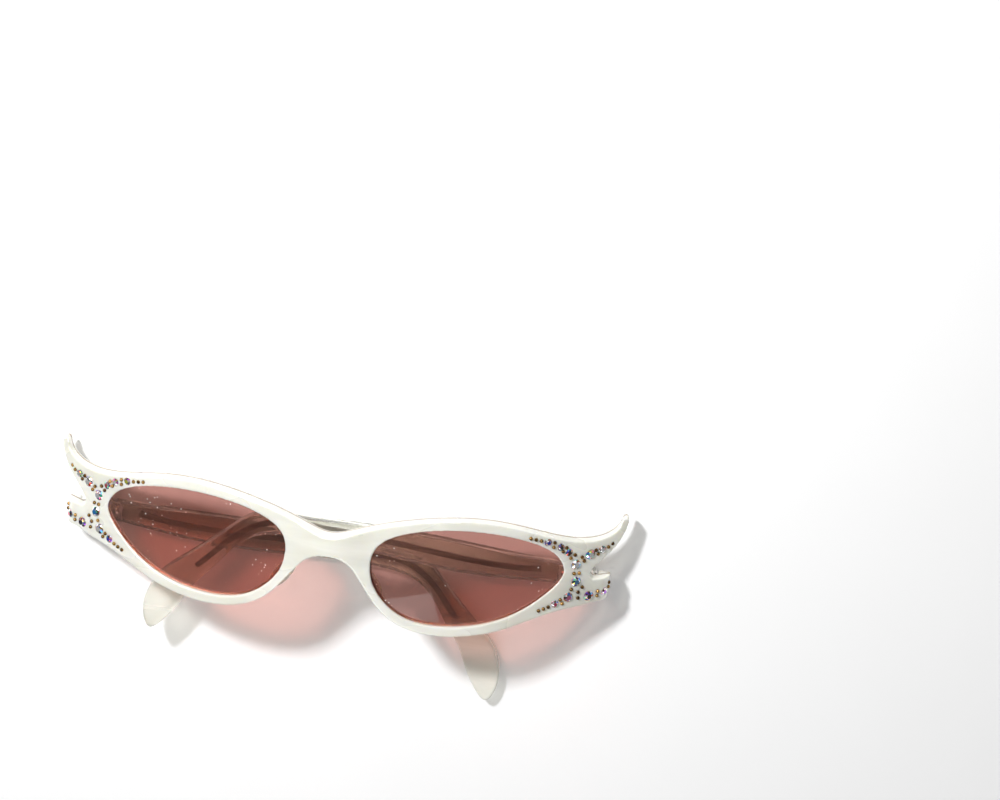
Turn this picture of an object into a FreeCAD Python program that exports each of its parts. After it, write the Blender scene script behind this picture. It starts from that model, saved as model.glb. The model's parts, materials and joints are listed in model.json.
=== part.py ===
"""Winged cat eye sunglasses: bowed front, tinted lenses, two folding temples.

Frame: +X along the front, +Y towards the brow, +Z up, away from the surface that the folded
glasses lie on.  The front is drawn about its own datum: X = 0 on the nose line, Y = 0 level
with the middle of the lenses, Z = 0 on the front face at the nose.  LEFT is the -X side.
"""
import FreeCAD
import Part
import math
import os
from FreeCAD import Placement, Rotation, Vector

DOC = FreeCAD.newDocument("cat_eye_sunglasses")

# ---------------------------------------------------------------- driving dimensions (mm, degrees)
DIMENSIONS = {
    "bow_radius": 125.0,          # plan radius of the front face
    "front_thickness": 3.8,
    "front_height": 60.0,         # tall enough to hold the whole outline
    "bridge_rise": 1.8,           # how far the bridge stands forward
    "bridge_half": 13.0,
    "plan_half": 78.0,
    "arm_start": 71.6,            # where the side arm leaves the bowed face
    "arm_root": 64.0,
    "arm_bend": 5.0,
    "arm_thickness": 3.2,
    "arm_top": -5.0,
    "arm_height": 6.6,
    "butt_depth": 28.4,           # from the front datum back to the hinge joint line
    "lens_inset": 0.7,            # how far the lens sits behind the front face
    "lens_thickness": 1.8,
    "lens_middle": -3.8,
    "groove_depth": 0.9,
    "pad_width": 4.2,
    "pad_length": 11.0,
    "pad_depth": 7.0,
    "pin_offset": 1.5,            # from the arm's inner face in to the hinge line
    "pin_setback": 1.0,           # from the joint line back to the hinge line
    "pin_height": -9.0,
    "knuckle_radius": 1.25,
    "knuckle_length": 1.45,
    "knuckle_middle": 1.6,
    "leaf_thickness": 0.8,
    "leaf_height": 4.6,
    "front_leaf_reach": 3.0,
    "temple_leaf_reach": 9.6,
    "screw_radius": 0.6,
    "screw_head": 1.05,
    "screw_head_height": 0.6,
    "temple_thickness": 4.0,
    "temple_taper": 0.4,
    "temple_straight": 80.0,
    "temple_hook": 660.0,         # radius of the inward curve past the straight
    "core_thickness": 0.9,
    "core_width": 1.5,
    "rivet_radius": 0.6,
    "rivet_head": 1.0,
    "stone_large": 2.4,
    "stone_small": 1.8,
    "bead_size": 1.0,
    "seat_depth": 0.35,
    "fold_left": 90.0,            # the outer temple lies flat
    "fold_right": 95.0,           # the inner temple lies over it
    "rack_left": 2.0,             # lean of each hinge line about Z, clockwise
    "rack_right": 4.0,
    "running_gap": 0.05,
    "datum_lift": 34.96,          # front datum above the surface underneath
    "datum_shift": 18.47,          # brings the middle of the footprint to Y = 0
}

SHEET = DOC.addObject("Spreadsheet::Sheet", "sizes")
for row, (alias, number) in enumerate(DIMENSIONS.items(), start=1):
    SHEET.set(f"A{row}", alias)
    SHEET.set(f"B{row}", str(number))
    SHEET.setAlias(f"B{row}", alias)
DOC.recompute()


def size(alias):
    """The value of one named cell."""
    return float(SHEET.get(alias))


BOW = size("bow_radius")
ALONG_X = Vector(1, 0, 0)
ALONG_Y = Vector(0, 1, 0)
ALONG_Z = Vector(0, 0, 1)
IN_XY = Rotation()
IN_XZ = Rotation(ALONG_X, 90)     # sketch Y runs along +Z
DATUM = Placement(Vector(0, size("datum_shift"), size("datum_lift")), Rotation())
SIDES = {"left": -1, "right": 1}


# ---------------------------------------------------------------- shared feature helpers
def bow_depth(x, inset=0.0):
    """Z of a surface parallel to the bowed front face, inset behind it."""
    radius = BOW - inset
    return math.sqrt(radius * radius - x * x) - BOW


def sketch(name, turn, edges):
    """A sketch through the datum, with its edges added in order."""
    drawing = DOC.addObject("Sketcher::SketchObject", name)
    drawing.Placement = Placement(Vector(), turn)
    for edge in edges:
        drawing.addGeometry(edge, False)
    return drawing


def line(a, b):
    return Part.LineSegment(Vector(*a, 0), Vector(*b, 0))


def arc(a, middle, b):
    return Part.Arc(Vector(*a, 0), Vector(*middle, 0), Vector(*b, 0))


def round_arc(centre, radius, angle_a, angle_b):
    """An arc about a centre, between two angles from the sketch's +Y, clockwise positive."""
    circle = Part.Circle(Vector(*centre, 0), Vector(0, 0, 1), radius)
    quarter = math.pi / 2
    return Part.ArcOfCircle(circle, quarter - max(angle_a, angle_b), quarter - min(angle_a, angle_b))


def curve(points):
    """A smooth curve through a few points."""
    spline = Part.BSplineCurve()
    spline.interpolate(Points=[Vector(x, y, 0) for x, y in points])
    return spline


def loop(points):
    """A smooth closed curve through a few points."""
    spline = Part.BSplineCurve()
    spline.interpolate(Points=[Vector(x, y, 0) for x, y in points], PeriodicFlag=True)
    return spline


def loop_halves(points):
    """A smooth closed curve as two halves that run into each other."""
    halves = []
    for half in (0, 1):
        spline = loop(points)
        start = spline.FirstParameter
        whole = spline.LastParameter - start
        spline.segment(start + whole * half / 2, start + whole * (half + 1) / 2)
        halves.append(spline)
    return halves


def grow(points, distance):
    """The points of a clockwise loop, each moved outwards, square to the curve."""
    spline = loop(points)
    moved = []
    for x, y in points:
        along = spline.tangent(spline.parameter(Vector(x, y, 0)))[0]
        moved.append((x - along.y * distance, y + along.x * distance))
    return moved


def extrusion(name, base, direction, length, both_ways=True):
    """A solid swept straight from a sketch, its length bound to one or two cells."""
    solid = DOC.addObject("Part::Extrusion", name)
    solid.Base = base
    solid.DirMode = "Custom"
    solid.Dir = direction
    solid.Solid = True
    solid.Symmetric = both_ways
    solid.setExpression("LengthFwd", length)
    return solid


def combine(kind, name, shapes):
    """Part::MultiFuse or Part::MultiCommon of several objects."""
    result = DOC.addObject(kind, name)
    result.Shapes = shapes
    return result


def cut(name, base, tool):
    result = DOC.addObject("Part::Cut", name)
    result.Base = base
    result.Tool = tool
    return result


def mirrored(name, source):
    """The same piece on the other side of the nose line."""
    twin = DOC.addObject("Part::Mirroring", name)
    twin.Source = source
    twin.Base = Vector()
    twin.Normal = ALONG_X
    return twin


def loose(name, shape):
    """An object that holds a shape made by this script."""
    item = DOC.addObject("Part::Feature", name)
    item.Shape = shape
    return item


# ---------------------------------------------------------------- the front
APERTURE = [(11.2, -1.2), (13.3, 4.8), (20.0, 8.3), (30.5, 9.9), (41.0, 9.4), (52.0, 6.7),
            (59.2, 2.2), (61.1, -1.9), (57.7, -7.6), (47.2, -14.8), (32.2, -17.5),
            (20.0, -14.8), (13.6, -8.8)]
BROW = [(0.0, 5.4), (5.5, 6.8), (10.5, 8.7), (21.0, 11.4), (31.0, 12.6), (41.0, 12.2),
        (52.0, 9.6), (61.0, 7.0), (68.5, 6.4), (72.8, 7.9), (74.7, 10.6)]
WING_TIP = (75.7, 11.7)
WING_EDGE = [(76.45, 10.5), (75.7, 7.4), (73.2, 3.0), (69.4, -0.8), (67.8, -3.2)]
ARM_EDGE = [(67.8, -3.2), (68.6, -4.5), (70.8, -5.7)]
CHEEK = [(70.8, -11.1), (68.6, -12.0), (64.3, -12.7), (55.0, -15.2), (46.0, -18.5), (35.0, -20.2),
         (25.0, -19.4), (16.5, -15.5), (11.8, -10.4), (8.4, -5.4), (5.0, -1.4), (0.0, 0.1)]


def flip(points):
    """A run of points on the other side, in the opposite order."""
    return [(-x, y) for x, y in reversed(points)]


def outline_edges():
    """The whole outer outline, clockwise from the left wing tip."""
    return [curve(flip(BROW)[:-1] + BROW),
            arc(BROW[-1], WING_TIP, WING_EDGE[0]),
            curve(WING_EDGE),
            curve(ARM_EDGE),
            line(ARM_EDGE[-1], CHEEK[0]),
            curve(CHEEK[:-1] + flip(CHEEK)),
            line(flip(CHEEK)[-1], flip(ARM_EDGE)[0]),
            curve(flip(ARM_EDGE)),
            curve(flip(WING_EDGE)),
            arc(flip(WING_EDGE)[-1], (-WING_TIP[0], WING_TIP[1]), flip(BROW)[0])]


def front_plan():
    """Plan section of the front: a bowed strip with the bridge standing forward."""
    half = math.asin(size("plan_half") / BOW)
    width = size("bridge_half")
    nose = math.asin(width / BOW)
    thick = size("front_thickness")
    centre = (0, -BOW)
    steps = 4
    bridge = []
    for step in range(-steps, steps + 1):
        share = step / steps
        rise = size("bridge_rise") * math.cos(share * math.pi / 2) ** 2
        bridge.append((share * width, bow_depth(share * width) + rise))
    ends = [[(side * radius * math.sin(half), radius * math.cos(half) - BOW) for radius in (BOW, BOW - thick)]
            for side in (-1, 1)]
    edges = [curve(bridge),
             round_arc(centre, BOW, nose, half),
             line(*ends[1]),
             round_arc(centre, BOW - thick, -half, half),
             line(*ends[0]),
             round_arc(centre, BOW, -half, -nose)]
    return extrusion("front_plan", sketch("front_plan_lines", IN_XZ, edges), ALONG_Y, "sizes.front_height")


def arm_bend_centre():
    """Centre of the bend between the bowed face and the side arm, in plan."""
    start = size("arm_start")
    radius = size("arm_bend")
    lean = math.asin(start / BOW)
    return start - radius * math.sin(lean), bow_depth(start) - radius * math.cos(lean), lean


def side_arm():
    """The right side arm: it follows the bow, turns back, and ends at the hinge joint line."""
    thick = size("arm_thickness")
    radius = size("arm_bend")
    back = -size("butt_depth")
    root = math.asin(size("arm_root") / BOW)
    cx, cz, lean = arm_bend_centre()
    quarter = math.pi / 2
    inner = radius - thick
    whole = BOW - thick
    edges = [round_arc((0, -BOW), BOW, root, lean),
             round_arc((cx, cz), radius, lean, quarter),
             line((cx + radius, cz), (cx + radius, back)),
             line((cx + radius, back), (cx + inner, back)),
             line((cx + inner, back), (cx + inner, cz)),
             round_arc((cx, cz), inner, lean, quarter),
             round_arc((0, -BOW), whole, root, lean),
             line((whole * math.sin(root), whole * math.cos(root) - BOW),
                  (BOW * math.sin(root), BOW * math.cos(root) - BOW))]
    drawing = sketch("side_arm_lines", IN_XZ, edges)
    drawing.Placement = Placement(Vector(0, size("arm_top"), 0), IN_XZ)
    drawing.setExpression("Placement.Base.y", "sizes.arm_top")
    return extrusion("side_arm_right", drawing, Vector(0, -1, 0), "sizes.arm_height", both_ways=False)


def lens_blank():
    """A hollow ball about the bow's axis: a lens is a piece of its wall."""
    balls = []
    for name, inset in (("lens_front_ball", "sizes.lens_inset"),
                        ("lens_back_ball", "sizes.lens_inset - sizes.lens_thickness")):
        ball = DOC.addObject("Part::Sphere", name)
        ball.setExpression("Radius", f"sizes.bow_radius - {inset}")
        ball.Placement = Placement(Vector(0, size("lens_middle"), -BOW), IN_XZ)
        balls.append(ball)
    return cut("lens_blank", *balls)


def lens_right(blank):
    """The right lens: the aperture's outline grown by the groove's depth."""
    outline = sketch("lens_outline", IN_XY, loop_halves(grow(APERTURE, size("groove_depth"))))
    column = extrusion("lens_column", outline, ALONG_Z, "sizes.front_height * 2")
    return combine("Part::MultiCommon", "lens_right", [column, blank])


def nose_pad_right(plan):
    """A rounded pad that is cemented to the back of the rim beside the nose."""
    body = DOC.addObject("Part::Ellipsoid", "nose_pad_body")
    body.setExpression("Radius1", "sizes.pad_depth / 2")
    body.setExpression("Radius2", "sizes.pad_width / 2")
    body.setExpression("Radius3", "sizes.pad_length / 2")
    body.Placement = Placement(Vector(11.6, -8.7, -5.4), Rotation(ALONG_Z, 34))
    return cut("nose_pad_right", body, plan)


# ---------------------------------------------------------------- the trim
STONES_LARGE = [(64.1, 0.0), (64.7, -5.0), (67.5, 2.6), (63.2, -9.4), (68.6, -9.6)]
STONES_SMALL = [(70.5, 3.7), (61.8, 3.7), (59.5, 5.4), (56.0, 6.9), (60.0, -11.1), (72.6, -8.9)]
BEAD_ROWS = [((72.0, 4.2), (73.9, 5.6), 3), ((51.4, 8.2), (54.2, 7.4), 3),
             ((56.0, -12.8), (58.4, -11.9), 3)]
BEAD_PAIRS = [((69.2, 3.1), 120), ((65.8, 1.4), 120), ((63.0, 2.4), 40), ((60.65, 4.55), 53),
              ((57.7, 6.1), 85), ((64.6, -2.6), 0), ((61.6, -10.6), 120), ((70.9, -9.2), 90),
              ((73.55, -7.5), 90)]
BEAD_SINGLES = [(63.8, -7.2), (66.6, -6.8), (65.7, -8.2), (65.9, -9.9)]
PAIR_SPACING = 1.3


def bead_places():
    """Every bead on one side: rows, pairs about a middle, and single ones."""
    places = list(BEAD_SINGLES)
    for (x0, y0), (x1, y1), count in BEAD_ROWS:
        for step in range(count):
            share = step / (count - 1)
            places.append((x0 + (x1 - x0) * share, y0 + (y1 - y0) * share))
    for (x, y), angle in BEAD_PAIRS:
        dx = PAIR_SPACING / 2 * math.cos(math.radians(angle))
        dy = PAIR_SPACING / 2 * math.sin(math.radians(angle))
        places += [(x - dx, y - dy), (x + dx, y + dy)]
    return places


def on_face(x, y):
    """Point and outward normal on the front face or the bend of the side arm, for x above 0."""
    cx, cz, lean = arm_bend_centre()
    radius = size("arm_bend")
    if x <= size("arm_start"):
        angle = math.asin(x / BOW)
        return Vector(x, y, bow_depth(x)), Vector(math.sin(angle), 0, math.cos(angle))
    angle = math.asin(min(1.0, (x - cx) / radius))
    outward = Vector(math.sin(angle), 0, math.cos(angle))
    return Vector(cx, y, cz) + outward * radius, outward


def stone(width):
    """One cut stone about +Z: its girdle sits in the seat and its crown stands above it."""
    girdle = Part.makeCylinder(width / 2, size("seat_depth") + 0.1, Vector(0, 0, -size("seat_depth")))
    crown = Part.makeCone(width / 2, width * 0.29, width * 0.2, Vector(0, 0, 0.1))
    return girdle.fuse(crown).removeSplitter()


def bead(width):
    """One round bead with a flat underneath."""
    ball = Part.makeSphere(width / 2)
    below = Part.makeBox(width, width, width, Vector(-width / 2, -width / 2, -width - width * 0.3))
    return ball.cut(below)


def seat(width):
    """The drilled seat for one stone or bead."""
    depth = size("seat_depth")
    return Part.makeCylinder(width / 2 + 0.02, depth + 1.0, Vector(0, 0, -depth))


def spread(places, piece, side):
    """Copies of one piece, each square to the face at its place."""
    copies = []
    for x, y in places:
        point, outward = on_face(x, y)
        point.x *= side
        outward.x *= side
        copy = piece.copy()
        copy.Placement = Placement(point, Rotation(ALONG_Z, outward))
        copies.append(copy)
    return Part.makeCompound(copies)


# ---------------------------------------------------------------- the hinges
def pin_place(side):
    """Where the hinge line crosses the datum of one side."""
    cx, _, _ = arm_bend_centre()
    inner_face = cx + size("arm_bend") - size("arm_thickness")
    return Vector(side * (inner_face - size("pin_offset")), size("pin_height"),
                  -size("butt_depth") - size("pin_setback"))


def axis_place(name, side):
    """The hinge line's placement: its Y runs along the screw."""
    return Placement(pin_place(side), Rotation(ALONG_Z, -size(f"rack_{name}")))


def temple_place(name, side):
    """The folded temple's placement, from its open pose about the hinge line."""
    fold = Placement(Vector(), Rotation(ALONG_Y, side * size(f"fold_{name}")))
    return axis_place(name, side) * fold


def box(x0, x1, y0, y1, z0, z1, side=1):
    """A box between limits, with X counted outwards on either side."""
    low = min(side * x0, side * x1)
    return Part.makeBox(abs(x1 - x0), y1 - y0, z1 - z0, Vector(low, y0, z0))


def knuckle(y0, length, bore):
    """One barrel of the hinge about the Y axis."""
    barrel = Part.makeCylinder(size("knuckle_radius"), length, Vector(0, y0, 0), ALONG_Y)
    return barrel.cut(Part.makeCylinder(bore, length, Vector(0, y0, 0), ALONG_Y))


def front_leaf_shape(side):
    """The front leaf: an anchor let into the side arm, with the two outer barrels."""
    reach = size("front_leaf_reach")
    plate_in = size("pin_offset")
    plate_out = plate_in + size("leaf_thickness")
    half = size("leaf_height") / 2
    bore = size("screw_radius") + 0.02
    middle = size("knuckle_middle") / 2 + size("running_gap")
    setback = size("pin_setback")
    shape = box(plate_in, plate_out, -half, half, setback, setback + reach, side)
    for low in (-half, middle):
        length = half - middle
        web = box(0.3, plate_out, low, low + length, 0.3, setback, side)
        web = web.cut(Part.makeCylinder(size("knuckle_radius") - 0.2, length, Vector(0, low, 0), ALONG_Y))
        shape = shape.fuse([knuckle(low, length, bore), web])
    return shape.removeSplitter()


def temple_leaf_shape(side):
    """The temple leaf: a plate let into the temple, with the middle barrel."""
    plate_in = size("pin_offset")
    plate_out = plate_in + size("leaf_thickness")
    half = size("leaf_height") / 2
    middle = size("knuckle_middle") / 2
    start = size("knuckle_radius") + 0.05
    bore = size("screw_radius") + size("running_gap")
    shape = box(plate_in, plate_out, -half, half, -size("temple_leaf_reach"), -start, side)
    web = box(0.3, plate_out, -middle, middle, -start - 0.2, -0.3, side)
    web = web.cut(Part.makeCylinder(size("knuckle_radius") - 0.2, middle * 2, Vector(0, -middle, 0), ALONG_Y))
    shape = shape.fuse([knuckle(-middle, middle * 2, bore), web])
    for along in RIVETS:
        shape = shape.cut(rivet_hole(along, side))
    return shape.removeSplitter()


def screw_shape():
    """The hinge screw, with a slotted head on the upper barrel."""
    half = size("leaf_height") / 2
    head = size("screw_head_height")
    shank = Part.makeCylinder(size("screw_radius"), half * 2, Vector(0, -half, 0), ALONG_Y)
    cap = Part.makeCylinder(size("screw_head"), head, Vector(0, half, 0), ALONG_Y)
    slot = Part.makeBox(0.3, head, 4.0, Vector(-0.15, half + head / 2, -2.0))
    return shank.fuse(cap).cut(slot).removeSplitter()


# ---------------------------------------------------------------- the temples
TEMPLE_OUTLINE = [(-0.95, 2.6), (10.0, 2.4), (25.0, 2.8), (45.0, 3.5), (63.0, 3.2), (79.0, 2.4),
                  (88.0, 2.0), (93.0, 0.6), (98.0, -3.6), (108.5, -13.9), (114.7, -20.3),
                  (117.7, -27.5), (117.6, -32.5), (115.3, -36.6), (111.6, -33.6), (107.6, -26.8),
                  (104.2, -20.4), (101.0, -16.2), (96.2, -9.4), (91.0, -5.0), (84.0, -3.2),
                  (72.0, -3.0), (54.0, -4.2), (38.0, -5.0), (26.0, -4.6), (10.0, -3.1), (-0.95, -2.8)]
CORE_ROUTE = [(14.0, 0.0), (50.0, -0.3), (80.0, 0.3), (90.0, -1.2), (97.5, -7.2), (105.3, -16.4)]
RIVETS = (4.4, 7.8)


def temple_plan_edges(face, back, side, taper=0.0):
    """Plan strip of a temple between two offsets: straight, then curving gently inwards.

    The sketch's X counts along the temple from the hinge line and its Y runs outwards.
    """
    straight = size("temple_straight")
    hook = size("temple_hook")
    start = -size("pin_setback") + size("running_gap")
    end = 122.0
    middle = (straight + end) / 2

    def inward(along, offset):
        return side * (offset - max(0.0, along - straight) ** 2 / (2 * hook))

    def point(along, offset):
        return along, inward(along, offset)

    return [line(point(start, face), point(straight, face)),
            arc(point(straight, face), point(middle, face), point(end, face)),
            line(point(end, face), point(end, back + taper)),
            arc(point(end, back + taper), point(middle, back + taper), point(straight, back + taper)),
            line(point(straight, back + taper), point(start, back)),
            line(point(start, back), point(start, face))]


PLAN_TURN = Rotation(Vector(0, 0, -1), ALONG_X, ALONG_Y, "XYZ")   # X to -Z, Y to +X
SIDE_TURN = Rotation(Vector(0, 0, -1), ALONG_Y, ALONG_X, "XYZ")   # X to -Z, Y to +Y


def temple_plate(name, outline_edges_, plan_edges):
    """What a side outline and a plan strip have in common."""
    column = extrusion(f"{name}_column", sketch(f"{name}_outline", SIDE_TURN, outline_edges_),
                       ALONG_X, "sizes.front_height")
    strip = extrusion(f"{name}_strip", sketch(f"{name}_plan", PLAN_TURN, plan_edges),
                      ALONG_Y, "sizes.front_height * 2")
    return combine("Part::MultiCommon", f"{name}_blank", [column, strip])


def core_edges():
    """The core's outline: a parallel pair of curves about its route, closed at both ends."""
    half = size("core_width") / 2
    route = curve(CORE_ROUTE)
    steps = 12
    upper = []
    lower = []
    for step in range(steps + 1):
        at = route.FirstParameter + (route.LastParameter - route.FirstParameter) * step / steps
        point = route.value(at)
        along = route.tangent(at)[0]
        upper.append((point.x - along.y * half, point.y + along.x * half))
        lower.append((point.x + along.y * half, point.y - along.x * half))
    return [curve(upper), line(upper[-1], lower[-1]), curve(lower), line(lower[0], upper[0])]


def temple_core(name, side):
    """The flat metal core, half-way through the temple's thickness."""
    middle = size("pin_offset") + size("temple_thickness") / 2
    half = size("core_thickness") / 2
    plan = temple_plan_edges(middle + half, middle - half, side)
    blank = temple_plate(f"temple_core_{name}", core_edges(), plan)
    blank.Label = f"temple_core_{name}"
    return blank


def rivet_hole(along, side):
    start = size("pin_offset")
    length = size("temple_thickness") - 0.1
    return Part.makeCylinder(size("rivet_radius"), length, Vector(side * start, 0, -along),
                             Vector(side, 0, 0))


def temple_rivets_shape(side):
    """Two rivets through the leaf and the temple, with low domed heads on the inside."""
    start = size("pin_offset")
    head = size("rivet_head")
    rivets = []
    for along in RIVETS:
        dome_radius = 1.6
        sink = math.sqrt(dome_radius ** 2 - head ** 2)
        dome = Part.makeSphere(dome_radius, Vector(side * (start + sink), 0, -along))
        keep = box(start - 1.0, start, -head, head, -along - head, -along + head, side)
        rivets.append(rivet_hole(along, side).fuse(dome.common(keep)).removeSplitter())
    return Part.makeCompound(rivets)


def temple(name, side, core):
    """One temple: its blank, less the core's channel, the leaf's recess and the rivet holes."""
    face = size("pin_offset") + size("temple_thickness")
    plan = temple_plan_edges(face, size("pin_offset"), side, size("temple_taper"))
    edges = [curve(TEMPLE_OUTLINE), line(TEMPLE_OUTLINE[-1], TEMPLE_OUTLINE[0])]
    blank = temple_plate(f"temple_{name}", edges, plan)
    half = size("leaf_height") / 2
    depth = size("pin_offset") + size("leaf_thickness")
    start = size("knuckle_radius") + 0.05
    plate = box(0.5, depth, -half, half, -size("temple_leaf_reach"), -start, side)
    clear = box(0.5, depth + size("running_gap"), -half - 0.05, half + 0.05, -start, 2.0, side)
    holes = [rivet_hole(along, side) for along in RIVETS]
    recess = loose(f"temple_recess_{name}", plate.fuse([clear] + holes))
    tools = combine("Part::MultiFuse", f"temple_tools_{name}", [core, recess])
    return cut(f"temple_{name}", blank, tools)


# ---------------------------------------------------------------- assembly
def build_front():
    """The front, its lenses, pads and trim, and the hinge pieces that stay with it."""
    nodes = {}
    plan = front_plan()
    column = extrusion("outline_column", sketch("outline", IN_XY, outline_edges()), ALONG_Z,
                       "sizes.front_height * 2")
    face = combine("Part::MultiCommon", "bowed_face", [plan, column])
    arm = side_arm()
    aperture = sketch("aperture", IN_XY, loop_halves(APERTURE))
    opening = extrusion("aperture_column", aperture, ALONG_Z, "sizes.front_height * 2")
    lens = lens_right(lens_blank())
    pad = nose_pad_right(plan)
    solid = combine("Part::MultiFuse", "front_blank", [face, arm, mirrored("side_arm_left", arm)])
    nodes["lens_right"] = lens
    nodes["lens_left"] = mirrored("lens_left", lens)
    nodes["nose_pad_right"] = pad
    nodes["nose_pad_left"] = mirrored("nose_pad_left", pad)

    opened = solid
    for tool in (opening, mirrored("aperture_left", opening), lens, nodes["lens_left"]):
        opened = cut(f"opened_for_{tool.Name}", opened, tool)
    stone_sizes = {"large": (STONES_LARGE, size("stone_large")), "small": (STONES_SMALL, size("stone_small"))}
    seats = []
    leaves = []
    for name, side in SIDES.items():
        for word, (places, width) in stone_sizes.items():
            node = f"rhinestones_{word}_{name}"
            nodes[node] = loose(node, spread(places, stone(width), side))
            seats.append(spread(places, seat(width), side))
        beads = bead_places()
        node = f"gold_beads_{name}"
        nodes[node] = loose(node, spread(beads, bead(size("bead_size")), side))
        seats.append(spread(beads, seat(size("bead_size")), side))
        for node, shape in ((f"hinge_front_leaf_{name}", front_leaf_shape(side)),
                            (f"hinge_screw_{name}", screw_shape())):
            nodes[node] = loose(node, shape)
            nodes[node].Placement = axis_place(name, side)
        leaves.append(nodes[f"hinge_front_leaf_{name}"])
    seated = cut("front_with_seats", opened, loose("seats", Part.makeCompound(seats)))
    anchors = DOC.addObject("Part::Compound", "leaf_anchors")
    anchors.Links = leaves
    nodes["front_frame"] = cut("front_frame", seated, anchors)
    return nodes


def build_temples():
    """Both temples with their cores, leaves and rivets, each in its own open pose."""
    nodes = {}
    for name, side in SIDES.items():
        core = temple_core(name, side)
        nodes[f"temple_core_{name}"] = core
        nodes[f"temple_{name}"] = temple(name, side, core)
        nodes[f"hinge_temple_leaf_{name}"] = loose(f"hinge_temple_leaf_{name}", temple_leaf_shape(side))
        nodes[f"temple_rivets_{name}"] = loose(f"temple_rivets_{name}", temple_rivets_shape(side))
    return nodes


def check(nodes):
    """Stop if any feature failed or any sub-part is not a valid shape."""
    for item in DOC.Objects:
        if "Invalid" in item.State or "Error" in item.State:
            raise RuntimeError(f"{item.Name} failed: {item.State}")
    for name, item in nodes.items():
        shape = item.Shape
        if shape.isNull() or not shape.isValid() or not shape.Solids:
            raise RuntimeError(f"{name} has no valid solid")


FRONT = build_front()
TEMPLES = build_temples()
DOC.recompute()
NODES = {**FRONT, **TEMPLES}
check(NODES)

os.makedirs("parts", exist_ok=True)
for node, item in sorted(NODES.items()):
    item.Label = node
    shape = item.Shape.copy()
    place = DATUM
    for name, side in SIDES.items():
        if node in TEMPLES and node.endswith(name):
            place = DATUM * temple_place(name, side)
    shape.Placement = place * shape.Placement
    shape.exportStep(f"parts/{node}.step")
    print(f"{node:28s} solids {len(shape.Solids):3d} volume {shape.Volume:10.2f} mm3")
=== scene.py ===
"""Looks of the winged cat eye sunglasses: pearlised acetate, rose lenses, stones and gold beads."""
import colorsys
import json
import math
import random

import bmesh
import bpy
from mathutils import Euler, Matrix, Vector
from mathutils.bvhtree import BVHTree


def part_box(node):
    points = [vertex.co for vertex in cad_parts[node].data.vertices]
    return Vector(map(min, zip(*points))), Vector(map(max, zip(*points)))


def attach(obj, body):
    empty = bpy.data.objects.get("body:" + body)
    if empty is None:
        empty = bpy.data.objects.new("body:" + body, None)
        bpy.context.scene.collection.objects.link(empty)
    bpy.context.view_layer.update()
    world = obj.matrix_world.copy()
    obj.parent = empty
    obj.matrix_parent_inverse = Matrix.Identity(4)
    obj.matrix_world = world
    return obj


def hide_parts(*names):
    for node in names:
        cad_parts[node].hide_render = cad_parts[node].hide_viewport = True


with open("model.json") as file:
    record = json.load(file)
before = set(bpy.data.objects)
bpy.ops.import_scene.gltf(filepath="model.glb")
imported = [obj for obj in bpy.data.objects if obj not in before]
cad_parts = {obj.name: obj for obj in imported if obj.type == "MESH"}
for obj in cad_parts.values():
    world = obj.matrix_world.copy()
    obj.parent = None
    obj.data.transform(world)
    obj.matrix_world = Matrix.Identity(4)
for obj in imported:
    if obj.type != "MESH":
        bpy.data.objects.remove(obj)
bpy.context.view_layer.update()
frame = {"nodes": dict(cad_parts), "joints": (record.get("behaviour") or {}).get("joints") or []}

MM = 0.001
SIDES = ("left", "right")
BRIDGE_RISE = 1.8 * MM
BOW_RADIUS = 125.0 * MM
LENS_FRONT = BOW_RADIUS - 0.7 * MM
LENS_BACK = LENS_FRONT - 1.8 * MM
# the apex of the bowed front face, and the height of the bow's own axis
FRONT_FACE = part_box("front_frame")[1].z - BRIDGE_RISE
BOW_AXIS = FRONT_FACE - BOW_RADIUS
LENS_MIDDLE = (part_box("lens_left")[0].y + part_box("lens_left")[1].y) / 2
# the thin brown line in the front: its depth behind the face, and half its width
BACK_LINE_DEPTH = 2.8 * MM
BACK_LINE_HALF = 0.30 * MM
# a temple's transmission changes between these heights on the folded part; a low value at the tip is painted
# light
BLADE_START = -6.0 * MM
BLADE_END = -15.0 * MM
# voxel sizes and smoothing passes of the rounded pieces
FRONT_VOXEL, FRONT_PASSES = 0.28 * MM, 9
TEMPLE_VOXEL, TEMPLE_PASSES = 0.28 * MM, 24
PAD_VOXEL, PAD_PASSES = 0.22 * MM, 5
LENS_VOXEL = 0.35 * MM
# how near a rounded face must be to the true one to be laid on it, and how square to it
FACE_REACH = 0.12 * MM
FACE_SQUARE = 0.985
LENS_REACH = 0.2 * MM
# corners nearer than this are one corner
MERGE = 0.001 * MM
HINGE_CLEARANCE = 0.16 * MM
# the cut stones are this much wider than the CAD stones they stand for
STONE_WIDER = 1.17
STONE_SEAT = 0.35 * MM

# each temple's hinge, by the body that turns on it
HINGES = {joint["child"]: joint for joint in frame["joints"]}


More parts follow.
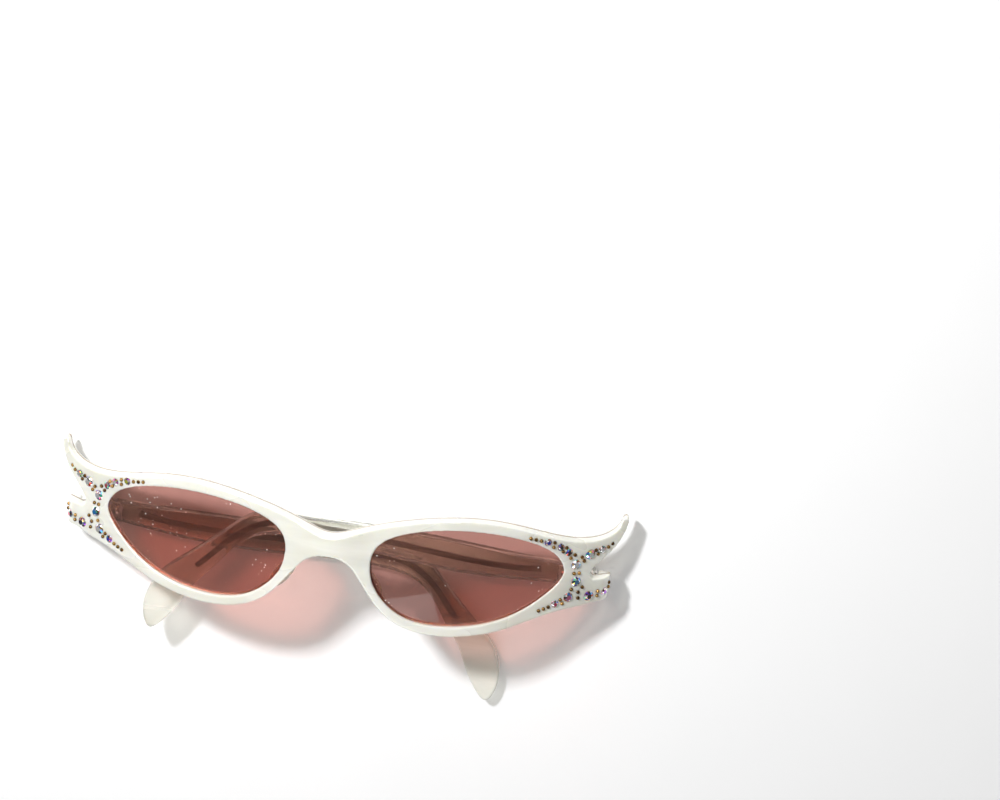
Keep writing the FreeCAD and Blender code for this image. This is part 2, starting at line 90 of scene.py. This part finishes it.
# ---------------------------------------------------------------- node helpers
class Shader:
    """A material's node tree, with short ways to add and join nodes."""

    def __init__(self, name):
        self.material = bpy.data.materials.new(name)
        self.material.use_nodes = True
        self.tree = self.material.node_tree
        self.surface = self.tree.nodes["Principled BSDF"]
        self.output = self.tree.nodes["Material Output"]
        self.place = self.add("ShaderNodeTexCoord").outputs["Object"]

    def add(self, kind, **settings):
        node = self.tree.nodes.new(kind)
        for key, value in settings.items():
            setattr(node, key, value)
        return node

    def join(self, source, target):
        self.tree.links.new(source, target)

    def set(self, **values):
        """Plain values on the surface shader's own sockets."""
        for key, value in values.items():
            self.surface.inputs[key.replace("_", " ")].default_value = value

    def axes(self):
        """The three object coordinates, apart."""
        node = self.add("ShaderNodeSeparateXYZ")
        self.join(self.place, node.inputs["Vector"])
        return node.outputs

    def stretched(self, scale):
        """Object coordinates scaled along each axis."""
        mapping = self.add("ShaderNodeMapping")
        mapping.inputs["Scale"].default_value = scale
        self.join(self.place, mapping.inputs["Vector"])
        return mapping.outputs["Vector"]

    def noise(self, scale, detail=3.0, rough=0.5, vector=None, distortion=0.0):
        node = self.add("ShaderNodeTexNoise")
        node.inputs["Scale"].default_value = scale
        node.inputs["Detail"].default_value = detail
        node.inputs["Roughness"].default_value = rough
        node.inputs["Distortion"].default_value = distortion
        self.join(vector or self.place, node.inputs["Vector"])
        return node.outputs["Fac"]

    def ramp(self, factor, first, last):
        """A colour ramp between two (position, colour) stops."""
        node = self.add("ShaderNodeValToRGB")
        for stop, (position, colour) in zip(node.color_ramp.elements, (first, last)):
            stop.position = position
            stop.color = (*colour, 1.0)
        self.join(factor, node.inputs["Fac"])
        return node.outputs["Color"]

    def mix(self, factor, first, second):
        """Two colours mixed by a factor; either may be a socket or a colour."""
        node = self.add("ShaderNodeMix", data_type="RGBA")
        self.join(factor, node.inputs["Factor"])
        # its colour sockets are inputs 6 and 7 and output 2
        for socket, value in ((node.inputs[6], first), (node.inputs[7], second)):
            if isinstance(value, tuple):
                socket.default_value = (*value, 1.0)
            else:
                self.join(value, socket)
        return node.outputs[2]

    def math(self, operation, first, second=None):
        node = self.add("ShaderNodeMath", operation=operation)
        for socket, value in zip(node.inputs, (first, second)):
            if value is None:
                continue
            if isinstance(value, (int, float)):
                socket.default_value = value
            else:
                self.join(value, socket)
        return node.outputs["Value"]

    def spread(self, factor, low, high):
        """A factor from 0 to 1 spread between two numbers."""
        node = self.add("ShaderNodeMapRange")
        node.inputs["To Min"].default_value = low
        node.inputs["To Max"].default_value = high
        self.join(factor, node.inputs["Value"])
        return node.outputs["Result"]

    def let_light_through(self, colour):
        """Lamps shine through the piece, tinted; everything else sees the surface shader."""
        clear = self.add("ShaderNodeBsdfTransparent")
        clear.inputs["Color"].default_value = (*colour, 1.0)
        path = self.add("ShaderNodeLightPath")
        both = self.add("ShaderNodeMixShader")
        self.join(path.outputs["Is Shadow Ray"], both.inputs["Fac"])
        self.join(self.surface.outputs["BSDF"], both.inputs[1])
        self.join(clear.outputs["BSDF"], both.inputs[2])
        self.join(both.outputs["Shader"], self.output.inputs["Surface"])

    def bump(self, height, distance, strength=1.0):
        node = self.add("ShaderNodeBump")
        node.inputs["Distance"].default_value = distance
        node.inputs["Strength"].default_value = strength
        self.join(height, node.inputs["Height"])
        self.join(node.outputs["Normal"], self.surface.inputs["Normal"])


# ---------------------------------------------------------------- materials
IVORY = (0.75, 0.74, 0.66)
IVORY_PALE = (0.92, 0.91, 0.84)
IVORY_GREEN = (0.73, 0.74, 0.66)
BACK_LINE_BROWN = (0.24, 0.14, 0.07)


def brown_back_line(shader, clouds):
    """How strongly a thin brown line shows: it lies at a fixed depth near the back face, seen on cut edges
    only.
    """
    height = shader.math("SUBTRACT", shader.axes()["Z"], BOW_AXIS)
    squares = shader.math("ADD", shader.math("POWER", height, 2.0),
                          shader.math("POWER", shader.axes()["X"], 2.0))
    depth = shader.math("SUBTRACT", BOW_RADIUS, shader.math("POWER", squares, 0.5))
    off_line = shader.math("ABSOLUTE", shader.math("SUBTRACT", depth, BACK_LINE_DEPTH))
    line = shader.math("LESS_THAN", off_line, BACK_LINE_HALF)
    return shader.math("MULTIPLY", line, shader.spread(clouds, 0.5, 1.0))


def tip_transmission(shader, clear, tip):
    """A temple's transmission goes from clear to tip along its blade; a low tip value is painted light, the
    opaque ivory reading as a lit blade.
    """
    blade = shader.add("ShaderNodeMapRange")
    for socket, value in (("From Min", BLADE_START), ("From Max", BLADE_END),
                          ("To Min", clear), ("To Max", tip)):
        blade.inputs[socket].default_value = value
    shader.join(shader.axes()["Y"], blade.inputs["Value"])
    shader.join(blade.outputs["Result"], shader.surface.inputs["Transmission Weight"])


def acetate(name, clear, haze, glow, front=False, tip=None):
    """Pearlised acetate: cloudy ivory streaks, a soft lustre under a polished surface.

    clear is its transmission, and tip the transmission at a temple's tip; haze is its lowest
    roughness, and glow what each face lets through of a lamp's light.
    """
    shader = Shader(name)
    streaks = shader.noise(90.0, 4.0, 0.55, shader.stretched((0.35, 1.6, 1.0)), 0.6)
    clouds = shader.noise(45.0, 2.0, 0.5, shader.stretched((0.7, 1.4, 1.0)), 0.4)
    pearl = shader.ramp(streaks, (0.30, IVORY), (0.66, IVORY_PALE))
    colour = shader.mix(shader.spread(clouds, 0.0, 0.55), pearl, IVORY_GREEN)
    if front:
        # a thin brown line at a fixed depth behind the face, showing on the cut edges
        colour = shader.mix(brown_back_line(shader, clouds), colour, BACK_LINE_BROWN)
    shader.join(colour, shader.surface.inputs["Base Color"])
    shader.join(shader.spread(clouds, haze, haze + 0.12), shader.surface.inputs["Roughness"])
    shader.set(IOR=1.48, Metallic=0.12 if front else 0.0, Coat_Weight=0.6, Coat_Roughness=0.06,
               Subsurface_Weight=0.35 if front else 0.05, Subsurface_Scale=2.5 * MM,
               Transmission_Weight=clear)
    # a temple's tip is made less transmissive: painted light on the blade
    if tip is not None:
        tip_transmission(shader, clear, tip)
    shader.surface.inputs["Subsurface Radius"].default_value = (1.0, 0.85, 0.5)
    if front:
        shader.bump(shader.noise(300.0, 2.0), 0.02 * MM, 0.25)
    shader.let_light_through((glow, glow, 0.93 * glow))
    return shader.material


def lens_tint(name):
    """Rose brown lens plastic with a little dust on it."""
    shader = Shader(name)
    cell = shader.add("ShaderNodeTexVoronoi", feature="F1")
    cell.inputs["Scale"].default_value = 560.0
    shader.join(shader.place, cell.inputs["Vector"])
    patch = shader.math("GREATER_THAN", shader.noise(60.0, 2.0), 0.50)
    speck = shader.math("LESS_THAN", cell.outputs["Distance"], 0.085)
    dust = shader.math("MULTIPLY", speck, patch)
    depth = shader.noise(20.0, 1.0)
    tint = shader.mix(depth, (0.41, 0.203, 0.173), (0.46, 0.23, 0.20))
    shader.join(shader.mix(dust, tint, (0.95, 0.90, 0.88)), shader.surface.inputs["Base Color"])
    shader.join(shader.math("SUBTRACT", 1.0, dust), shader.surface.inputs["Transmission Weight"])
    shader.join(shader.spread(dust, 0.015, 0.5), shader.surface.inputs["Roughness"])
    shader.set(IOR=1.46)
    shader.let_light_through((0.54, 0.31, 0.25))
    return shader.material


def stone_glass(name):
    """Foil backed cut crystal with an iridescent coating: each facet has a fixed colour from the coating's
    hues, with glints and shade painted in.
    """
    shader = Shader(name)
    facet = shader.add("ShaderNodeVertexColor", layer_name="facet")
    cloud = shader.noise(900.0, 1.0)
    shader.join(shader.mix(shader.spread(cloud, 0.0, 0.10), facet.outputs["Color"], (0.9, 0.9, 0.95)),
                shader.surface.inputs["Base Color"])
    shader.set(Metallic=0.85, Roughness=0.10, Coat_Weight=1.0, Coat_Roughness=0.02)
    return shader.material


def bead_gold(name):
    """Small gilt beads, tarnished brown in places."""
    shader = Shader(name)
    tarnish = shader.noise(700.0, 3.0, 0.6)
    shader.join(shader.ramp(tarnish, (0.42, (0.07, 0.035, 0.015)), (0.68, (0.58, 0.34, 0.11))),
                shader.surface.inputs["Base Color"])
    shader.join(shader.spread(tarnish, 0.45, 0.2), shader.surface.inputs["Roughness"])
    shader.set(Metallic=1.0)
    shader.bump(tarnish, 0.02 * MM, 0.4)
    return shader.material


def bright_steel(name):
    """Nickel bright steel with fine turning marks."""
    shader = Shader(name)
    marks = shader.noise(2500.0, 3.0, 0.6, shader.stretched((1.0, 0.15, 1.0)))
    shader.join(shader.ramp(marks, (0.3, (0.50, 0.49, 0.46)), (0.7, (0.78, 0.76, 0.72))),
                shader.surface.inputs["Base Color"])
    shader.join(shader.spread(marks, 0.18, 0.38), shader.surface.inputs["Roughness"])
    shader.set(Metallic=1.0)
    shader.bump(marks, 0.01 * MM, 0.3)
    return shader.material


def drawn_wire(name):
    """Dull flat wire with fine lines along its length."""
    shader = Shader(name)
    lines = shader.noise(260.0, 2.0, 0.5, shader.stretched((0.05, 3.0, 3.0)))
    shader.join(shader.ramp(lines, (0.35, (0.17, 0.14, 0.11)), (0.65, (0.34, 0.30, 0.25))),
                shader.surface.inputs["Base Color"])
    shader.join(shader.spread(lines, 0.35, 0.5), shader.surface.inputs["Roughness"])
    shader.set(Metallic=1.0)
    return shader.material


FRONT_ACETATE = acetate("front_acetate", 0.0, 0.22, 0.36, front=True)
# the left temple turns almost opaque at its tip: painted light that brightens a blade lying in the front's
# shadow
TEMPLE_ACETATE = {"left": acetate("temple_acetate_painted_lit_tip", 0.88, 0.02, 0.55, tip=0.1),
                  "right": acetate("temple_acetate_clear", 0.90, 0.02, 0.55, tip=0.7)}
PAD_ACETATE = acetate("pad_acetate", 0.6, 0.10, 0.75)
LENS_TINT = lens_tint("rose_lens")
STONE_GLASS = stone_glass("stone_glass")
BEAD_GOLD = bead_gold("bead_gold")
BRIGHT_STEEL = bright_steel("bright_steel")
DRAWN_WIRE = drawn_wire("drawn_wire")


# ---------------------------------------------------------------- mesh helpers
def paint(obj, material):
    """The whole object in one material."""
    obj.data.materials.clear()
    obj.data.materials.append(material)
    for face in obj.data.polygons:
        face.material_index = 0


def new_object(name, data):
    """A new object in the scene."""
    obj = bpy.data.objects.new(name, data)
    bpy.context.scene.collection.objects.link(obj)
    return obj


def merged(mesh):
    """A copy of a mesh to work on, its doubled corners joined."""
    builder = bmesh.new()
    builder.from_mesh(mesh)
    bmesh.ops.remove_doubles(builder, verts=builder.verts, dist=MERGE)
    return builder


def islands(mesh):
    """The mesh's separate closed pieces: each one's points, and its faces' normals, areas and middles."""
    builder = merged(mesh)
    builder.verts.ensure_lookup_table()
    seen = set()
    found = []
    for vertex in builder.verts:
        if vertex.index in seen:
            continue
        group = []
        stack = [vertex]
        seen.add(vertex.index)
        while stack:
            at = stack.pop()
            group.append(at)
            for edge in at.link_edges:
                other = edge.other_vert(at)
                if other.index not in seen:
                    seen.add(other.index)
                    stack.append(other)
        faces = dict.fromkeys(face for member in group for face in member.link_faces)
        found.append(([member.co.copy() for member in group],
                      [(face.normal.copy(), face.calc_area(), face.calc_center_median()) for face in faces]))
    builder.free()
    return found


def keep_largest(mesh):
    """Drops every island of the mesh but the one with the most vertices."""
    builder = bmesh.new()
    builder.from_mesh(mesh)
    left = set(builder.verts)
    groups = []
    while left:
        stack = [left.pop()]
        group = list(stack)
        while stack:
            for edge in stack.pop().link_edges:
                for other in edge.verts:
                    if other in left:
                        left.remove(other)
                        stack.append(other)
                        group.append(other)
        groups.append(group)
    groups.sort(key=len)
    bmesh.ops.delete(builder, geom=[vertex for group in groups[:-1] for vertex in group], context="VERTS")
    builder.to_mesh(mesh)
    builder.free()


def settle(obj):
    """Makes an object's modifiers real."""
    bpy.context.view_layer.update()
    evaluated = obj.evaluated_get(bpy.context.evaluated_depsgraph_get())
    mesh = bpy.data.meshes.new_from_object(evaluated)
    obj.modifiers.clear()
    obj.data = mesh


def remeshed(node, name, voxel, passes):
    """A copy of a CAD node as even small quads, its sharp edges eased, its outer skin only."""
    source = frame["nodes"][node]
    copy = new_object(name, source.data.copy())
    even = copy.modifiers.new("even", "REMESH")
    even.mode = "VOXEL"
    even.voxel_size = voxel
    if passes:
        ease = copy.modifiers.new("ease", "SMOOTH")
        ease.factor = 0.5
        ease.iterations = passes
    settle(copy)
    keep_largest(copy.data)
    for face in copy.data.polygons:
        face.use_smooth = True
    return copy


def true_faces(obj, node, reach):
    """Lays the broad faces of a rounded piece exactly on the CAD faces, so they look flat and clear."""
    source = frame["nodes"][node].data
    tree = BVHTree.FromPolygons([vertex.co for vertex in source.vertices],
                                [tuple(face.vertices) for face in source.polygons])
    moves = []
    for vertex in obj.data.vertices:
        place, normal, _index, distance = tree.find_nearest(vertex.co)
        if distance < reach and abs(normal.dot(vertex.normal)) > FACE_SQUARE:
            moves.append((vertex.index, place))
    for index, place in moves:
        obj.data.vertices[index].co = place


def hinge_relief(temple, side):
    """Clears the rounded temple where the front leaf comes when the temple is open."""
    source = frame["nodes"][f"hinge_front_leaf_{side}"].data
    builder = merged(source)
    builder.normal_update()
    hinge = HINGES[f"temple_{side}"]
    pin = Vector(hinge["pos_m"])
    opened = math.radians(hinge["range_deg"][1])
    turn = (Matrix.Translation(pin) @ Matrix.Rotation(-opened, 4, Vector(hinge["axis"]))
            @ Matrix.Translation(-pin))
    grown = [(vertex, turn @ (vertex.co + vertex.normal * HINGE_CLEARANCE)) for vertex in builder.verts]
    for vertex, place in grown:
        vertex.co = place
    mesh = bpy.data.meshes.new(f"relief_{side}")
    builder.to_mesh(mesh)
    builder.free()
    cutter = new_object(f"relief_{side}", mesh)
    carve = temple.modifiers.new("relief", "BOOLEAN")
    carve.operation = "DIFFERENCE"
    carve.solver = "EXACT"
    carve.object = cutter
    settle(temple)
    bpy.data.objects.remove(cutter)
    bpy.data.meshes.remove(mesh)


def stand_in(obj, node, body, material):
    """obj takes a CAD node's place in the picture."""
    paint(obj, material)
    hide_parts(node)
    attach(obj, body)


# ---------------------------------------------------------------- the pieces
def build_acetate():
    """The front and the temples with their edges rounded, as tumbled acetate has them."""
    front = remeshed("front_frame", "front_rounded", FRONT_VOXEL, FRONT_PASSES)
    stand_in(front, "front_frame", "front", FRONT_ACETATE)
    for side in SIDES:
        temple = remeshed(f"temple_{side}", f"temple_{side}_rounded", TEMPLE_VOXEL, TEMPLE_PASSES)
        true_faces(temple, f"temple_{side}", FACE_REACH)
        hinge_relief(temple, side)
        stand_in(temple, f"temple_{side}", f"temple_{side}", TEMPLE_ACETATE[side])
        pad = remeshed(f"nose_pad_{side}", f"nose_pad_{side}_rounded", PAD_VOXEL, PAD_PASSES)
        stand_in(pad, f"nose_pad_{side}", "front", PAD_ACETATE)


def build_lenses():
    """The lenses as fine meshes whose two faces lie exactly on their balls."""
    centre = Vector((0.0, LENS_MIDDLE, BOW_AXIS))
    for side in SIDES:
        lens = remeshed(f"lens_{side}", f"lens_{side}_clear", LENS_VOXEL, 0)
        for vertex in lens.data.vertices:
            out = vertex.co - centre
            for radius in (LENS_FRONT, LENS_BACK):
                if abs(out.length - radius) < LENS_REACH:
                    vertex.co = centre + out.normalized() * radius
        stand_in(lens, f"lens_{side}", "front", LENS_TINT)


FACET_HUES = (0.58, 0.66, 0.78, 0.88, 0.03, 0.07, 0.10, 0.44, 0.52, 0.95, 0.15)
# the shares of facets painted white as glints and painted dark as shade; the others get a bright coating
# hue, fixed as a painted flash
PAINTED_GLINT_FACETS, PAINTED_SHADE_FACETS = 0.30, 0.20
# a cut stone's rings of corners, as shares of its radius and its height
CUT_SIDES = 8
TABLE_REACH = 0.52
KITE_REACH, KITE_RISE = 0.80, 0.55
GIRDLE_RISE = 0.12
FOOT_DEPTH = 0.3 * MM


def painted_facet_colour(dice):
    """One facet's fixed colour: a painted white glint, or a coating hue of blue, violet, orange or green,
    painted dark as shade or bright as a flash.
    """
    roll = dice.random()
    # white facets are painted glints
    if roll < PAINTED_GLINT_FACETS:
        return (1.0, 1.0, 1.0, 1.0)
    hue = dice.choice(FACET_HUES) + dice.uniform(-0.02, 0.02)
    strength = dice.uniform(0.45, 0.95)
    # dark facets are painted shade; the bright ones are painted flashes of light
    dark = roll < PAINTED_GLINT_FACETS + PAINTED_SHADE_FACETS
    value = dice.uniform(0.05, 0.30) if dark else dice.uniform(0.75, 1.0)
    return (*colorsys.hsv_to_rgb(hue % 1.0, strength, value), 1.0)


def add_stone(builder, layer, centre, outward, width, height, dice):
    """One brilliant cut crown: table, star facets, kites and girdle facets."""
    across = outward.orthogonal().normalized()
    along = outward.cross(across)
    turn = dice.uniform(0.0, math.tau / CUT_SIDES)
    radius = width / 2

    def ring(count, reach, rise, offset):
        points = []
        for step in range(count):
            angle = turn + (step + offset) * 2 * math.pi / count
            place = centre + (across * math.cos(angle) + along * math.sin(angle)) * reach + outward * rise
            points.append(builder.verts.new(place))
        return points

    table = ring(CUT_SIDES, radius * TABLE_REACH, height, 0.0)
    middle = ring(CUT_SIDES, radius * KITE_REACH, height * KITE_RISE, 0.5)
    girdle = ring(2 * CUT_SIDES, radius, height * GIRDLE_RISE, 0.0)
    foot = ring(2 * CUT_SIDES, radius, -FOOT_DEPTH, 0.0)
    faces = [builder.faces.new(table), builder.faces.new(foot[::-1])]
    for step in range(CUT_SIDES):
        after = (step + 1) % CUT_SIDES
        before = (step - 1) % CUT_SIDES
        faces.append(builder.faces.new((table[step], middle[step], table[after])))
        faces.append(builder.faces.new((middle[before], girdle[2 * step], middle[step], table[step])))
        faces.append(builder.faces.new((middle[step], girdle[2 * step], girdle[2 * step + 1])))
        faces.append(builder.faces.new((middle[step], girdle[2 * step + 1], girdle[2 * after])))
    for step in range(2 * CUT_SIDES):
        after = (step + 1) % (2 * CUT_SIDES)
        faces.append(builder.faces.new((foot[step], foot[after], girdle[after], girdle[step])))
    for face in faces:
        colour = painted_facet_colour(dice)
        for corner in face.loops:
            corner[layer] = colour


def seat_of(points, faces):
    """A CAD stone's place: the middle of its foot, the way it faces, its width and its height."""
    normals = {}
    for normal, area, middle in faces:
        key = tuple(round(value, 2) for value in normal)
        total, weighted = normals.get(key, (0.0, Vector()))
        normals[key] = (total + area, weighted + middle * area)
    # the foot is the broadest flat face
    key = max(normals, key=lambda item: normals[item][0])
    area, weighted = normals[key]
    outward = -Vector(key).normalized()
    foot = weighted / area
    width = 2 * math.sqrt(area / math.pi)
    height = max((point - foot).dot(outward) for point in points)
    return foot, outward, width, height


def build_stones():
    """Each stone of the CAD model as a cut stone in the same seat."""
    for side in SIDES:
        for word in ("large", "small"):
            node = f"rhinestones_{word}_{side}"
            dice = random.Random(node)
            builder = bmesh.new()
            layer = builder.loops.layers.color.new("facet")
            for points, faces in islands(frame["nodes"][node].data):
                foot, outward, width, height = seat_of(points, faces)
                add_stone(builder, layer, foot + outward * STONE_SEAT, outward,
                          STONE_WIDER * width, height - STONE_SEAT, dice)
            mesh = bpy.data.meshes.new(f"cut_{node}")
            builder.to_mesh(mesh)
            builder.free()
            stand_in(new_object(f"cut_{node}", mesh), node, "front", STONE_GLASS)


def build_metal():
    """CAD nodes whose shape is right get their finish."""
    for side in SIDES:
        for node in (f"hinge_front_leaf_{side}", f"hinge_temple_leaf_{side}", f"hinge_screw_{side}",
                     f"temple_rivets_{side}"):
            paint(frame["nodes"][node], BRIGHT_STEEL)
        paint(frame["nodes"][f"temple_core_{side}"], DRAWN_WIRE)
        paint(frame["nodes"][f"gold_beads_{side}"], BEAD_GOLD)


# ---------------------------------------------------------------- studio
def build_floor():
    shader = Shader("studio_white")
    grain = shader.noise(30.0, 3.0)
    shader.join(shader.mix(grain, (0.97, 0.97, 0.97), (0.99, 0.99, 0.99)),
                shader.surface.inputs["Base Color"])
    shader.set(Roughness=0.7)
    bpy.ops.mesh.primitive_plane_add(size=4.0, location=(0.0, 0.0, 0.0))
    floor = bpy.context.object
    floor.name = "studio_floor"
    paint(floor, shader.material)


def area_light(name, towards, distance, width, power):
    """A soft white lamp that looks at the part from a direction."""
    lamp = bpy.data.lights.new(name, "AREA")
    lamp.shape = "SQUARE"
    lamp.size = width
    lamp.energy = power
    holder = new_object(name, lamp)
    direction = Vector(towards).normalized()
    holder.location = direction * distance
    holder.rotation_euler = direction.to_track_quat("Z", "Y").to_euler()


def build_studio():
    """A white floor, a small key lamp from the upper left, two broad lamps and a bright room."""
    build_floor()
    area_light("key", (-0.17, 0.30, 0.39), 0.52, 0.045, 2.7)
    area_light("top", (0.25, 0.9, 1.0), 1.4, 0.9, 2.0)
    area_light("fill", (0.10, -0.75, 0.65), 1.2, 0.8, 3.5)
    world = bpy.data.worlds.new("studio")
    world.use_nodes = True
    tree = world.node_tree
    room = tree.nodes["Background"]
    room.inputs["Color"].default_value = (1.0, 1.0, 1.0, 1.0)
    room.inputs["Strength"].default_value = 0.2
    # the bare room is seen pale, and lights the part softly
    backdrop = tree.nodes.new("ShaderNodeBackground")
    backdrop.inputs["Color"].default_value = (0.86, 0.86, 0.87, 1.0)
    path = tree.nodes.new("ShaderNodeLightPath")
    both = tree.nodes.new("ShaderNodeMixShader")
    tree.links.new(path.outputs["Is Camera Ray"], both.inputs["Fac"])
    tree.links.new(room.outputs["Background"], both.inputs[1])
    tree.links.new(backdrop.outputs["Background"], both.inputs[2])
    tree.links.new(both.outputs["Shader"], tree.nodes["World Output"].inputs["Surface"])
    bpy.context.scene.world = world
    bpy.context.scene.view_settings.view_transform = "Standard"


def build_camera():
    """High three-quarter view from the front, a little to the right, rolled as the photo is."""
    camera = bpy.data.cameras.new("camera")
    camera.lens = 90.0
    holder = new_object("camera", camera)
    holder.location = (0.05664, 0.27526, 0.62871)
    holder.rotation_euler = Euler([math.radians(angle) for angle in (-18.9205, 4.2143, 7.2182)])
    bpy.context.scene.camera = holder


build_acetate()
build_lenses()
build_stones()
build_metal()
build_studio()
build_camera()
